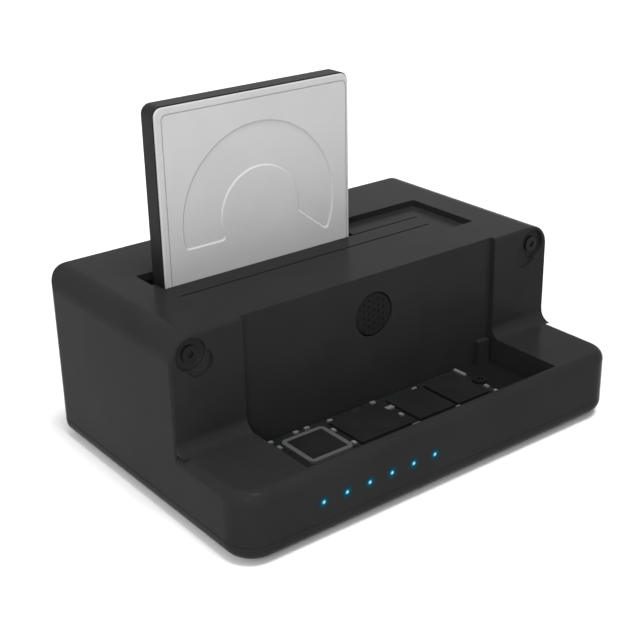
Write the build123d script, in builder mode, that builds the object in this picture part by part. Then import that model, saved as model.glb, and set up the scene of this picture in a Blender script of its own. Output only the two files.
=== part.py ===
from build123d import *
from math import cos, radians, sin
import os

os.makedirs("parts", exist_ok=True)

# Slot of the drive bay, and the housing's margins round it
slot_width = 110.0
slot_depth = 29.4
slot_side_margin = 17.3
slot_front_margin = 16.8
slot_rear_margin = 25.0
slot_corner_radius = 0.9

# Housing: an L-shaped box, a low ledge in front of a tall tower
ledge_depth = 31.6
ledge_height = 21.2
body_height = 55.4
tower_depth = slot_front_margin + slot_depth + slot_rear_margin
body_depth = ledge_depth + tower_depth
body_width = slot_width + 2 * slot_side_margin
wall = 2.4
foot_proud = 1.0
base_height = 5.0
base_floor = 2.2
base_edge_radius = 4.0
front_corner_radius = 9.0
back_corner_radius = 5.0
tower_side_radius = 7.0
tower_edge_radius = 0.8
ledge_edge_radius = 3.0
cove_radius = 3.9
seam_chamfer = 0.12
recess_depth = 1.8
recess_side_inset = 6.5
pit_lip = 3.6
skirt_wall = 1.6

# General clearances
overrun = 1.0
fit_gap = 0.05
part_gap = 0.1
slip_gap = 0.3

# Drive bay
well_wall = 1.6
well_floor = 1.5
well_front_extra = 4.6
big_drive_width = 101.6
drive_width = 69.85
drive_length = 100.2
drive_thickness = 7.0
drive_rear_gap = 2.6
drive_seat_gap = 0.2
plug_from_side = 30.12
plug_from_back = 3.5

# Boards
board_thickness = 1.6
main_board_side_gap = 16.3
main_board_end_gap = 5.2
main_board_standoff = 1.0
m2_board_side_gap = 15.3
m2_board_right_gap = 20.3
m2_board_back_gap = 0.2
m2_board_height = 8.7

# Reference planes of the housing
half_width = body_width / 2
y_front = -body_depth / 2
y_back = body_depth / 2
y_wall = y_back - tower_depth
y_recess = y_wall + recess_depth
y_room_front = y_recess + wall
y_room_back = y_back - wall
z_bottom = foot_proud
z_floor = z_bottom + base_floor
z_seam = z_bottom + base_height
z_ledge = z_bottom + ledge_height
z_ledge_under = z_ledge - wall
z_top = z_bottom + body_height
z_roof_under = z_top - wall
pit_half = slot_width / 2 - recess_side_inset
skirt_half = pit_half + skirt_wall
y_pit = y_front + pit_lip
slot_half = slot_width / 2
slot_back = y_back - slot_rear_margin
slot_front = slot_back - slot_depth

# Reference planes of the boards
z_main = z_floor + main_board_standoff
z_main_top = z_main + board_thickness
z_m2 = z_bottom + m2_board_height
z_m2_top = z_m2 + board_thickness
main_board_width = body_width - 2 * main_board_side_gap
main_board_depth = body_depth - 2 * main_board_end_gap
m2_board_front = y_front + wall + slip_gap
m2_board_back = y_wall - m2_board_back_gap

# Reference planes of the well and of the drive that stands in it
z_well = z_main_top + slip_gap
z_well_floor = z_well + well_floor
well_front = slot_front - well_front_extra
well_front_face = well_front - well_wall
drive_left = -big_drive_width / 2
drive_right = drive_left + drive_width
drive_back = slot_back - drive_rear_gap
drive_front = drive_back - drive_thickness
z_drive = z_well_floor + drive_seat_gap
z_drive_top = z_drive + drive_length
plug_x = drive_left + plug_from_side
plug_y = drive_back - plug_from_back


def block(x_low, x_high, y_low, y_high, z_low, z_high, mode=Mode.ADD):
    """A box between two corners, added to or cut from the part being made."""
    centre = ((x_low + x_high) / 2, (y_low + y_high) / 2, (z_low + z_high) / 2)
    with Locations(centre):
        Box(x_high - x_low, y_high - y_low, z_high - z_low, mode=mode)


def rod_x(x_low, x_high, y, z, radius, mode=Mode.ADD):
    """A round bar along X."""
    with Locations(((x_low + x_high) / 2, y, z)):
        Cylinder(radius, x_high - x_low, rotation=(0, 90, 0), mode=mode)


def rod_y(x, y_low, y_high, z, radius, mode=Mode.ADD):
    """A round bar along Y."""
    with Locations((x, (y_low + y_high) / 2, z)):
        Cylinder(radius, y_high - y_low, rotation=(90, 0, 0), mode=mode)


def rod_z(x, y, z_low, z_high, radius, mode=Mode.ADD):
    """A round bar along Z."""
    with Locations((x, y, (z_low + z_high) / 2)):
        Cylinder(radius, z_high - z_low, mode=mode)


def footprint(inset):
    """The housing's plan, drawn in by an inset, with larger radii at its two front corners."""
    with BuildSketch() as plan:
        Rectangle(body_width - 2 * inset, body_depth - 2 * inset)
        fillet(plan.vertices().group_by(Axis.Y)[0], radius=front_corner_radius - inset)
        fillet(plan.vertices().group_by(Axis.Y)[-1], radius=back_corner_radius - inset)
    return plan.sketch


# Small screws of the boards and of the drive well
small_hole = 1.05
small_shank = small_hole - fit_gap
small_head = 2.0
small_head_height = 1.3
cross_arm_share = 0.6
cross_width_share = 0.25
cross_depth_share = 0.55


def cross_recess(x, y, z_low, z_high, head_radius):
    """The cross recess of a screw head that lies along Z."""
    arm = head_radius * cross_arm_share
    half = head_radius * cross_width_share / 2
    block(x - arm, x + arm, y - half, y + half, z_low, z_high, Mode.SUBTRACT)
    block(x - half, x + half, y - arm, y + arm, z_low, z_high, Mode.SUBTRACT)


def small_screw(x, y, z_seat, shank_length):
    """A small screw that stands on z_seat and points down."""
    z_head = z_seat + small_head_height
    rod_z(x, y, z_seat, z_head, small_head)
    rod_z(x, y, z_seat - shank_length, z_seat, small_shank)
    cross_recess(x, y, z_head - small_head_height * cross_depth_share, z_head + overrun, small_head)


# Case screws, driven from below into the shell's bosses
case_side_inset = 10.3
case_end_inset = 11.4
case_joint_height = 7.2
case_hole = 1.5
case_shank = case_hole - fit_gap
case_boss_radius = 3.5
case_head_radius = 2.9
case_head_height = 2.0
case_head_pocket_radius = 3.2
case_head_pocket_depth = 3.0
case_screw_reach = 6.0
case_x = half_width - case_side_inset
case_y = y_back - case_end_inset
z_case_joint = z_bottom + case_joint_height
z_case_seat = z_bottom + case_head_pocket_depth
case_places = [(x, y) for x in (-case_x, case_x) for y in (-case_y, case_y)]

# Posts and screws of the boards
main_screw_side_inset = 4.0
main_screw_end_inset = 3.2
main_screw_x = main_board_width / 2 - main_screw_side_inset
main_screw_y = main_board_depth / 2 - main_screw_end_inset
main_post_radius = 3.0
main_screw_depth = 2.2
main_screw_places = [
    (x, y) for x in (-main_screw_x, main_screw_x) for y in (-main_screw_y, main_screw_y)
]
spacer_side_inset = 7.5
spacer_front_inset = 5.2
spacer_back_inset = 2.5
spacer_x = pit_half - spacer_side_inset
spacer_front_y = m2_board_front + spacer_front_inset
spacer_back_y = m2_board_back - spacer_back_inset
spacer_radius = 2.5
spacer_screw_depth = 3.4
spacer_places = [(x, y) for x in (-spacer_x, spacer_x) for y in (spacer_front_y, spacer_back_y)]

# Slot flap, hinged along its front edge under the housing's lip
flap_drop = 2.0
flap_thickness = 2.0
flap_side_gap = 0.3
barrel_radius = 1.9
hinge_setback = 2.4
neck_reach = 4.2
neck_drop = 0.6
neck_rise = 1.6
flap_pin_radius = 1.0
flap_pin_hole = flap_pin_radius + fit_gap
flap_pin_end_gap = 0.2
flap_notch_gap = 0.5
flap_notch_side_gap = 1.45
flap_tab_gap = 0.6
flap_tab_setback = 2.2
groove_from_front = 11.3
groove_end_gap = 4.1
groove_right_end = 48.0
groove_width = 0.7
groove_depth = 0.5
spring_gap_inner = 32.0
spring_gap_outer = 40.0
hinge_y = slot_front - hinge_setback
hinge_z = z_roof_under - slip_gap - barrel_radius
z_flap = z_top - flap_drop
z_flap_under = z_flap - flap_thickness
flap_half = slot_half - flap_side_gap
flap_front = slot_front + flap_side_gap
flap_back = slot_back - flap_side_gap
notch_front = drive_front - flap_notch_gap
notch_right = drive_right + flap_notch_side_gap
notch_left = drive_left - flap_tab_gap
tab_back = drive_back - flap_tab_setback

# Torsion springs on the hinge pin
spring_wire_radius = 0.2
spring_coil_radius = 1.5
spring_turns = 6
spring_end_gap = 1.0

# Drive well, a guide box that stands under the slot
rib_width = 2.0
rib_gap = 0.3
rib_x_step = 16.0
rib_count = 7
low_rib_rise = 11.8
rear_rib_rise = 28.0
tall_rib_rise = 38.0
front_rib_depth = 4.2
ear_reach = 8.2
ear_width = 9.0
ear_thickness = 2.0
ear_post_radius = 3.2
ear_hole_inset = 4.2
ear_front_inset = 1.0
ear_back_inset = 6.4
ear_screw_depth = 4.0
socket_window_width = 45.0
socket_window_depth = 8.5
ear_x = slot_half + well_wall + ear_hole_inset
ear_ys = (slot_front + ear_front_inset, slot_back - ear_back_inset)
ear_places = [(x, y) for x in (-ear_x, ear_x) for y in ear_ys]

# Drive socket on the main board
socket_width = 38.0
socket_depth = 4.8
socket_height = 7.2
socket_slot_width = 35.6
socket_slot_depth = 1.8
socket_slot_reach = 4.6
contact_pitch = 1.27
contact_width = 0.7
contact_thickness = 0.25
data_contacts = 7
power_contacts = 15
contact_first_from_left = 2.4
contact_group_gap = 2.2
z_socket_top = z_main_top + socket_height
z_socket_slot = z_socket_top - socket_slot_reach

# Round button in the tower's front wall
button_drop = 13.0
button_radius = 6.8
button_hole = button_radius + slip_gap
button_sink = 0.3
button_flange_radius = 8.2
button_flange = 1.0
button_stem_radius = 2.0
button_stem = 0.4
button_edge_radius = 0.4
dimple_radius = 0.45
dimple_depth = 0.3
dimple_pitch = 2.1
dimple_rows = 5
z_button = z_top - button_drop
y_flange = y_room_front + slip_gap
y_stem = y_flange + button_flange
y_plunger = y_stem + button_stem

# Tact switch and its board behind the button
switch_board_thickness = 1.2
switch_board_half = 8.0
switch_body_half = 3.0
switch_body_thickness = 2.4
plunger_radius = 1.6
plunger_hole = plunger_radius + slip_gap
plunger_pocket = 2.1
plunger_length = 2.1
y_switch_board = well_front_face - switch_board_thickness
y_switch_body = y_switch_board - switch_body_thickness

# Row of indicator lights in the ledge's front face
light_count = 6
light_pitch = 8.1
light_first_inset = 2.7
light_height = 11.1
lens_radius = 0.8
lens_hole = lens_radius + fit_gap
lens_dome = 0.25
light_size = 1.6
light_first_x = -pit_half + light_first_inset
z_light = z_bottom + light_height
y_light = m2_board_front + part_gap

# Card bay below the ledge
bay_floor_thickness = 1.0
bay_floor_rise = 1.9
bay_rib_side_inset = 1.3
bay_rib_width = 4.7
bay_rib_depth = 2.2
bay_rib_right = pit_half - bay_rib_side_inset
z_bay_under = z_m2_top + bay_floor_rise
z_bay = z_bay_under + bay_floor_thickness

# Card socket and card
card_width = 22.0
card_length = 80.0
card_thickness = 0.8
card_tab_width = 19.85
card_tab_length = 4.0
card_rise = 5.0
card_end_reach = 1.0
card_from_front = 18.4
card_left = -pit_half - card_end_reach
card_y = y_front + card_from_front
card_notch_radius = 1.75
card_socket_length = 8.0
card_socket_width = 23.4
card_socket_height = 7.0
z_card = z_m2_top + card_rise
z_card_top = z_card + card_thickness
card_right = card_left + card_length
card_shoulder = card_left + card_tab_length
card_socket_left = card_shoulder - card_socket_length
z_card_socket = z_m2_top + card_socket_height

# Parts on the card
chip_height = 0.9
chip_depth = 15.5
controller_from_end = 8.0
controller_width = 15.5
controller_frame_wall = 1.5
controller_corner = 2.0
controller_frame_drop = 0.1
memory_from_end = (26.0, 48.0, 63.5)
memory_widths = (18.5, 14.2, 13.0)
small_part_height = 0.5
small_part_long = 1.6
small_part_wide = 1.1

# Standoff and screw that hold the card
card_standoff_radius = 2.2
card_screw_head = 2.3
card_screw_head_height = 0.9
card_screw_shank = 1.0
card_screw_tip_rise = 1.25

# Corner screws of the tower's front wall
corner_screw_in = 6.8
corner_screw_down = 5.9
corner_pocket_radius = 4.9
corner_pocket_depth = 1.2
corner_relief_radius = 4.3
corner_relief_depth = 0.9
corner_relief_in = 2.7
corner_relief_down = 3.2
corner_hole = 1.7
corner_shank = corner_hole - fit_gap
corner_head = 2.5
corner_head_height = 0.9
corner_socket_radius = 1.1
corner_socket_sides = 6
corner_screw_reach = 5.0
corner_boss_radius = 3.4
corner_boss_length = 3.0
corner_screw_x = half_width - corner_screw_in
corner_screw_z = z_top - corner_screw_down

# Rear panel
jack_side_inset = 27.8
jack_width = 9.0
jack_height = 11.0
jack_depth = 13.6
jack_nose_radius = 4.0
jack_nose_hole = jack_nose_radius + part_gap
jack_bore_radius = 3.15
jack_bore_depth = 9.5
jack_pin_radius = 1.0
jack_pin_length = 8.0
jack_x = half_width - jack_side_inset
z_jack = z_main_top + jack_height / 2
port_side_inset = 48.3
port_width = 8.94
port_height = 3.26
port_depth = 9.6
port_shell = 0.3
port_corner = 1.4
port_gap = 0.25
port_tongue_width = 6.7
port_tongue_thickness = 0.7
port_tongue_length = 6.2
port_x = half_width - port_side_inset
z_port = z_main_top + port_height / 2
rocker_side_inset = 27.3
rocker_height = 26.0
rocker_recess = 3.0
rocker_hole_width = 13.4
rocker_hole_height = 8.6
rocker_bezel_width = 15.6
rocker_bezel_height = 10.8
rocker_bezel_thickness = 1.2
rocker_bezel_gap = 0.4
rocker_body_depth = 12.0
rocker_wall = 0.9
rocker_half_width = 5.0
rocker_half_height = 3.1
rocker_face_tilt = 7.0
rocker_pivot_depth = 3.4
rocker_pivot_radius = 1.0
rocker_pivot_hole = rocker_pivot_radius + fit_gap
rocker_face_rise = 3.2
rocker_skirt = 2.4
rocker_face_drop = 2.2
rocker_keel_half_width = 2.0
rocker_x = -half_width + rocker_side_inset
z_rocker = z_bottom + rocker_height
y_rocker_floor = y_back - rocker_recess
y_bezel_face = y_rocker_floor + rocker_bezel_thickness
y_pivot = y_rocker_floor - rocker_pivot_depth

# Parts on the main board
board_corner = 1.5
rear_chip_places = ((0, 14.4), (-20.0, 15.4), (11.0, 18.4))
front_chip_place = (-8.0, 11.4)
chip_places = [(x, y_back - from_back) for x, from_back in rear_chip_places]
chip_places.append((front_chip_place[0], y_front + front_chip_place[1]))
chip_sides = (9.0, 7.0, 5.0, 7.0)
chip_rises = (1.0, 0.9, 1.5, 1.0)
inductor_xs = (-31.0, -12.0)
inductor_from_back = 11.4
inductor_y = y_back - inductor_from_back
inductor_side = 6.6
inductor_round = 2.9
inductor_step = 0.4
inductor_height = 3.2
capacitor_xs = (18.0, 33.0)
capacitor_from_back = 17.4
capacitor_y = y_back - capacitor_from_back
capacitor_radius = 2.9
capacitor_height = 7.6
capacitor_foot = 0.8
header_width = 20.0
header_depth = 5.0
header_from_front = 23.4
header_y = y_front + header_from_front

# Small parts on the card, placed from its plugged end and its centre line
small_part_offsets = (
    (6.3, 9.7),
    (15.5, 9.9),
    (19.5, 9.9),
    (27.5, 9.2),
    (44.6, 9.9),
    (60.5, 8.8),
    (62.8, -8.6),
)
small_part_upright_offsets = (
    (6.6, 5.6),
    (24.8, 4.0),
    (24.8, -5.4),
    (46.3, -1.2),
    (78.9, -4.1),
    (78.9, -8.2),
)
crystal_offsets = ((46.25, 4.2), (45.9, -9.0), (40.2, -9.6))
crystal_long = 3.0
crystal_wide = 1.6
bar_offsets = ((79.2, 8.2),)
bar_long = 5.0
bar_wide = 1.1

# Details of the standing drive
drive_corner = 3.0
drive_edge_radius = 0.4
drive_rim = 2.3
cover_inset = 0.4
border_side_thin = 1.2
border_width = 0.35
border_depth = 0.3
cover_thickness = 0.8
cover_corner = drive_corner - cover_inset
cover_edge_radius = 0.3
border_corner = 2.0
stamp_from_left = 35.3
stamp_from_top = 37.5
stamp_outer = 28.0
stamp_inner = 14.0
stamp_left_end = 44.0
stamp_step = 14.5
stamp_right_end = 74.0
stamp_corner = 1.4
stamp_depth = 0.35
stamp_slope = 55.0
drive_board_recess = 1.2
drive_board_thickness = 0.8
drive_board_height = 62.0
drive_screw_head = 1.5
drive_screw_shank = 0.7
drive_screw_reach = 2.4
drive_screw_side_inset = 6.0
drive_screw_low = 12.0
drive_screw_high = 58.0
side_hole_radius = 1.25
side_hole_depth = 3.0
side_hole_from_back = 3.0
side_hole_low = 14.0
side_hole_high = 90.6
plug_wall = 1.1
plug_base = 1.3
plug_lip = 0.4
plug_pocket_height = 8.0
side_hole_heights = (z_drive + side_hole_low, z_drive + side_hole_high)
drive_screw_places = [
    (x, z)
    for x in (drive_left + drive_screw_side_inset, drive_right - drive_screw_side_inset)
    for z in (z_drive + drive_screw_low, z_drive + drive_screw_high)
]

# Underside
foot_radius = 5.5
foot_side_inset = 23.3
foot_end_inset = 18.4
foot_x = half_width - foot_side_inset
foot_y = y_back - foot_end_inset
foot_sink = 0.8
foot_edge_radius = 0.3
foot_places = [(x, y) for x in (-foot_x, foot_x) for y in (-foot_y, foot_y)]
vent_rows = 2
vent_count = 9
vent_length = 16.0
vent_width = 2.0
vent_pitch = 6.0
vent_row_pitch = 26.0

# Low block of the housing with its rounded upper outline
with BuildPart() as ledge_block:
    with BuildSketch(Plane.XY.offset(z_seam)):
        add(footprint(0))
    extrude(amount=z_ledge - z_seam)
    fillet(ledge_block.edges().group_by(Axis.Z)[-1], radius=ledge_edge_radius)
    chamfer(ledge_block.edges().group_by(Axis.Z)[0], length=seam_chamfer)

# Tall block of the housing, rounded along its two upper sides
with BuildPart() as tower_block:
    with BuildSketch(Plane.XZ.offset(-y_back)) as tower_face:
        with Locations((0, (z_seam + z_top) / 2)):
            Rectangle(body_width, z_top - z_seam)
        fillet(tower_face.vertices().group_by(Axis.Y)[-1], radius=tower_side_radius)
    extrude(amount=tower_depth)
    with BuildSketch(Plane.XY.offset(z_seam)):
        add(footprint(0))
    extrude(amount=z_top - z_seam, mode=Mode.INTERSECT)
    front_edges = tower_block.edges().group_by(Axis.Y)[0]
    tower_front_edges = front_edges.filter_by(lambda e: e.center().Z > z_seam + overrun)
    fillet(tower_front_edges, radius=tower_edge_radius)
    top_back_edge = tower_block.edges().filter_by(Axis.X).group_by(Axis.Z)[-1].sort_by(Axis.Y)[-1]
    fillet(top_back_edge, radius=tower_edge_radius)
    chamfer(tower_block.edges().group_by(Axis.Z)[0].group_by(Axis.Y)[1:], length=seam_chamfer)


# Upper shell
with BuildPart() as upper_shell:
    add(ledge_block.part)
    add(tower_block.part)
    # Cove between the ledge and the tower's front wall
    with BuildSketch(Plane.YZ):
        with BuildLine():
            Line((y_wall - cove_radius, z_ledge), (y_wall + overrun, z_ledge))
            Line((y_wall + overrun, z_ledge), (y_wall + overrun, z_ledge + cove_radius))
            Line((y_wall + overrun, z_ledge + cove_radius), (y_wall, z_ledge + cove_radius))
            RadiusArc((y_wall, z_ledge + cove_radius), (y_wall - cove_radius, z_ledge), cove_radius)
        make_face()
    extrude(amount=half_width - tower_edge_radius / 2, both=True)
    # Room under the ledge
    with BuildSketch(Plane.XY.offset(z_seam - overrun)):
        add(footprint(wall))
    extrude(amount=z_ledge_under - z_seam + overrun, mode=Mode.SUBTRACT)
    # Room inside the tower
    with BuildSketch(Plane.XZ.offset(-y_room_back)) as tower_room:
        with Locations((0, (z_seam + z_roof_under) / 2)):
            Rectangle(body_width - 2 * wall, z_roof_under - z_seam)
        fillet(tower_room.vertices().group_by(Axis.Y)[-1], radius=tower_side_radius - wall)
    extrude(amount=y_room_back - y_room_front, mode=Mode.SUBTRACT)
    # Walls round the card bay, and the shallow recess that runs up the tower's front
    block(-skirt_half, skirt_half, y_front + wall / 2, y_room_front, z_bay, z_ledge_under)
    block(-pit_half, pit_half, y_pit, y_recess, z_bay - overrun, z_top + overrun, Mode.SUBTRACT)
    # Square rib up the bay's rear wall, beside its right corner
    block(
        bay_rib_right - bay_rib_width,
        bay_rib_right,
        y_recess - bay_rib_depth,
        y_recess + wall / 2,
        z_bay,
        z_ledge,
    )
    # Way in for the card's socket
    block(
        -skirt_half - overrun,
        -pit_half + overrun,
        card_y - card_socket_width / 2 - slip_gap,
        card_y + card_socket_width / 2 + slip_gap,
        z_bay - overrun,
        z_card_socket + slip_gap,
        Mode.SUBTRACT,
    )
    # Slot in the tower's top
    with BuildSketch(Plane.XY.offset(z_roof_under - overrun)):
        with Locations((0, (slot_front + slot_back) / 2)):
            RectangleRounded(slot_width, slot_depth, slot_corner_radius)
    extrude(amount=wall + 2 * overrun, mode=Mode.SUBTRACT)
    # Bosses for the case screws
    for x, y in case_places:
        boss_top = z_ledge_under if y < 0 else z_roof_under
        rod_z(x, y, z_case_joint, boss_top + overrun, case_boss_radius)
        rod_z(x, y, z_case_joint, z_case_joint + case_screw_reach, case_hole, Mode.SUBTRACT)
    # Pockets, bosses and holes for the two corner screws
    for side in (-1, 1):
        x = side * corner_screw_x
        y_pocket = y_wall + corner_pocket_depth
        rod_y(x, y_room_front, y_room_front + corner_boss_length, corner_screw_z, corner_boss_radius)
        rod_y(x, y_wall - overrun, y_pocket, corner_screw_z, corner_pocket_radius, Mode.SUBTRACT)
        rod_y(
            x - side * corner_relief_in,
            y_wall - overrun,
            y_wall + corner_relief_depth,
            corner_screw_z - corner_relief_down,
            corner_relief_radius,
            Mode.SUBTRACT,
        )
        rod_y(x, y_pocket, y_pocket + corner_screw_reach, corner_screw_z, corner_hole, Mode.SUBTRACT)
    # Hole for the button
    rod_y(0, y_recess - overrun, y_room_front + overrun, z_button, button_hole, Mode.SUBTRACT)
    # Holes for the indicator lights
    for index in range(light_count):
        x = light_first_x + index * light_pitch
        rod_y(x, y_front - overrun, y_front + wall + overrun, z_light, lens_hole, Mode.SUBTRACT)
    # Rear panel: jack, port, and the sunk seat of the power switch
    rod_y(jack_x, y_room_back - overrun, y_back + overrun, z_jack, jack_nose_hole, Mode.SUBTRACT)
    with BuildSketch(Plane.XZ.offset(-y_back - overrun)):
        with Locations((port_x, z_port)):
            RectangleRounded(port_width + 2 * port_gap, port_height + 2 * port_gap, port_corner)
    extrude(amount=wall + 2 * overrun, mode=Mode.SUBTRACT)
    seat_half_width = rocker_bezel_width / 2 + rocker_bezel_gap
    seat_half_height = rocker_bezel_height / 2 + rocker_bezel_gap
    block(
        rocker_x - seat_half_width - wall,
        rocker_x + seat_half_width + wall,
        y_rocker_floor - wall,
        y_room_back,
        z_rocker - seat_half_height - wall,
        z_rocker + seat_half_height + wall,
    )
    block(
        rocker_x - seat_half_width,
        rocker_x + seat_half_width,
        y_rocker_floor,
        y_back + overrun,
        z_rocker - seat_half_height,
        z_rocker + seat_half_height,
        Mode.SUBTRACT,
    )
    block(
        rocker_x - rocker_hole_width / 2,
        rocker_x + rocker_hole_width / 2,
        y_rocker_floor - wall - overrun,
        y_back + overrun,
        z_rocker - rocker_hole_height / 2,
        z_rocker + rocker_hole_height / 2,
        Mode.SUBTRACT,
    )
upper_shell.part.label = "upper_shell"
export_step(upper_shell.part, "parts/upper_shell.step")

# Base cover: the tray under the shell
with BuildPart() as base_cover:
    with BuildSketch(Plane.XY.offset(z_bottom)):
        add(footprint(0))
    extrude(amount=base_height)
    fillet(base_cover.edges().group_by(Axis.Z)[0], radius=base_edge_radius)
    chamfer(base_cover.edges().group_by(Axis.Z)[-1], length=seam_chamfer)
    with BuildSketch(Plane.XY.offset(z_floor)):
        add(footprint(wall))
    extrude(amount=z_seam - z_floor + overrun, mode=Mode.SUBTRACT)
    # Posts for the case screws, driven from below
    for x, y in case_places:
        rod_z(x, y, z_bottom + base_floor / 2, z_case_joint, case_boss_radius)
        rod_z(x, y, z_bottom - overrun, z_case_seat, case_head_pocket_radius, Mode.SUBTRACT)
        rod_z(x, y, z_case_seat, z_case_joint + overrun, case_hole + part_gap, Mode.SUBTRACT)
    # Posts for the main board and for the well's ears
    for x, y in main_screw_places:
        rod_z(x, y, z_floor, z_main, main_post_radius)
        rod_z(x, y, z_main_top - main_screw_depth - board_thickness, z_main, small_hole, Mode.SUBTRACT)
    for x, y in ear_places:
        rod_z(x, y, z_floor, z_well, ear_post_radius)
        rod_z(x, y, z_well + ear_thickness - ear_screw_depth, z_well, small_hole, Mode.SUBTRACT)
    # Seats for the feet
    for x, y in foot_places:
        rod_z(x, y, z_bottom - overrun, z_bottom + foot_sink, foot_radius, Mode.SUBTRACT)
    # Lower edge of the data port's opening
    with BuildSketch(Plane.XZ.offset(-y_back - overrun)):
        with Locations((port_x, z_port)):
            RectangleRounded(port_width + 2 * port_gap, port_height + 2 * port_gap, port_corner)
    extrude(amount=wall + 2 * overrun, mode=Mode.SUBTRACT)
    # Vents
    with BuildSketch(Plane.XY.offset(z_bottom - overrun)):
        with GridLocations(vent_pitch, vent_row_pitch, vent_count, vent_rows):
            SlotOverall(vent_length, vent_width, rotation=90)
    extrude(amount=base_floor + 2 * overrun, mode=Mode.SUBTRACT)
base_cover.part.label = "base_cover"
export_step(base_cover.part, "parts/base_cover.step")

# Four rubber feet
with BuildPart() as rubber_feet:
    for x, y in foot_places:
        rod_z(x, y, 0, z_bottom + foot_sink, foot_radius)
    fillet(rubber_feet.edges().group_by(Axis.Z)[0], radius=foot_edge_radius)
rubber_feet.part.label = "rubber_feet"
export_step(rubber_feet.part, "parts/rubber_feet.step")

# Case screws
with BuildPart() as case_screws:
    for x, y in case_places:
        z_head = z_case_seat - case_head_height
        rod_z(x, y, z_head, z_case_seat, case_head_radius)
        rod_z(x, y, z_case_seat, z_case_joint + case_screw_reach, case_shank)
        z_cross = z_head + case_head_height * cross_depth_share
        cross_recess(x, y, z_head - overrun, z_cross, case_head_radius)
case_screws.part.label = "case_screws"
export_step(case_screws.part, "parts/case_screws.step")

# Corner screws of the tower's front wall
with BuildPart() as corner_screws:
    for side in (-1, 1):
        x = side * corner_screw_x
        y_seat = y_wall + corner_pocket_depth
        y_head = y_seat - corner_head_height
        rod_y(x, y_head, y_seat, corner_screw_z, corner_head)
        rod_y(x, y_seat, y_seat + corner_screw_reach, corner_screw_z, corner_shank)
    with BuildSketch(Plane.XZ.offset(-y_head)):
        with Locations((-corner_screw_x, corner_screw_z), (corner_screw_x, corner_screw_z)):
            RegularPolygon(corner_socket_radius, corner_socket_sides)
    extrude(amount=-corner_head_height * cross_depth_share, mode=Mode.SUBTRACT)
corner_screws.part.label = "corner_screws"
export_step(corner_screws.part, "parts/corner_screws.step")

# Drive well
with BuildPart() as drive_well:
    block(
        -slot_half - well_wall,
        slot_half + well_wall,
        well_front_face,
        slot_back + well_wall,
        z_well,
        z_roof_under - part_gap,
    )
    block(
        -slot_half,
        slot_half,
        well_front,
        slot_back,
        z_well_floor,
        z_top,
        Mode.SUBTRACT,
    )
    block(
        plug_x - socket_window_width / 2,
        plug_x + socket_window_width / 2,
        plug_y - socket_window_depth / 2,
        plug_y + socket_window_depth / 2,
        z_well - overrun,
        z_well_floor + overrun,
        Mode.SUBTRACT,
    )
    # Guide ribs behind and in front of the drive
    for index in range(rib_count):
        x = (index - rib_count // 2) * rib_x_step
        rise = tall_rib_rise if x < notch_right - rib_width else rear_rib_rise
        block(
            x - rib_width / 2,
            x + rib_width / 2,
            drive_back + rib_gap,
            slot_back + well_wall / 2,
            z_well + well_floor / 2,
            z_well_floor + rise,
        )
        block(
            x - rib_width / 2,
            x + rib_width / 2,
            well_front - well_wall / 2,
            well_front + front_rib_depth,
            z_well + well_floor / 2,
            z_well_floor + low_rib_rise,
        )
    # Ears that stand on the base's posts
    for x, y in ear_places:
        side = 1 if x > 0 else -1
        x_wall = side * (slot_half + well_wall / 2)
        x_end = side * (slot_half + well_wall + ear_reach)
        block(
            min(x_wall, x_end),
            max(x_wall, x_end),
            y - ear_width / 2,
            y + ear_width / 2,
            z_well,
            z_well + ear_thickness,
        )
        rod_z(x, y, z_well - overrun, z_well + ear_thickness + overrun, small_hole + part_gap, Mode.SUBTRACT)
    # Bores for the hinge pin
    rod_x(-half_width, half_width, hinge_y, hinge_z, flap_pin_hole, Mode.SUBTRACT)
drive_well.part.label = "drive_well"
export_step(drive_well.part, "parts/drive_well.step")

# Screws of the well's ears
with BuildPart() as well_screws:
    for x, y in ear_places:
        small_screw(x, y, z_well + ear_thickness, ear_screw_depth - fit_gap)
well_screws.part.label = "well_screws"
export_step(well_screws.part, "parts/well_screws.step")

# Slot flap with its hinge barrel
with BuildPart() as slot_flap:
    block(-flap_half, flap_half, flap_front, flap_back, z_flap_under, z_flap)
    # Notch for the standing drive, with a short tab beside the drive's left edge
    block(
        notch_left,
        notch_right,
        notch_front,
        slot_back,
        z_flap_under - overrun,
        z_flap + overrun,
        Mode.SUBTRACT,
    )
    block(
        -slot_half,
        notch_left + overrun,
        tab_back,
        slot_back,
        z_flap_under - overrun,
        z_flap + overrun,
        Mode.SUBTRACT,
    )
    block(
        -flap_half,
        flap_half,
        hinge_y,
        hinge_y + neck_reach,
        hinge_z - neck_drop,
        hinge_z + neck_rise,
    )
    rod_x(-flap_half, flap_half, hinge_y, hinge_z, barrel_radius)
    # Gaps in the barrel for the two springs
    for side in (-1, 1):
        x_inner = side * spring_gap_inner
        x_outer = side * spring_gap_outer
        block(
            min(x_inner, x_outer),
            max(x_inner, x_outer),
            hinge_y - barrel_radius - overrun,
            flap_front,
            hinge_z - barrel_radius - overrun,
            hinge_z + neck_rise + overrun,
            Mode.SUBTRACT,
        )
    rod_x(-slot_half, slot_half, hinge_y, hinge_z, flap_pin_hole, Mode.SUBTRACT)
    # Shallow lines across the flap's upper face
    y_groove = flap_front + groove_from_front
    block(
        -flap_half + groove_end_gap,
        groove_right_end - groove_end_gap / 2,
        y_groove - groove_width / 2,
        y_groove + groove_width / 2,
        z_flap - groove_depth,
        z_flap + overrun,
        Mode.SUBTRACT,
    )
    block(
        notch_right,
        groove_right_end,
        notch_front,
        notch_front + groove_width,
        z_flap - groove_depth,
        z_flap + overrun,
        Mode.SUBTRACT,
    )
slot_flap.part.label = "slot_flap"
export_step(slot_flap.part, "parts/slot_flap.step")

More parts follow.
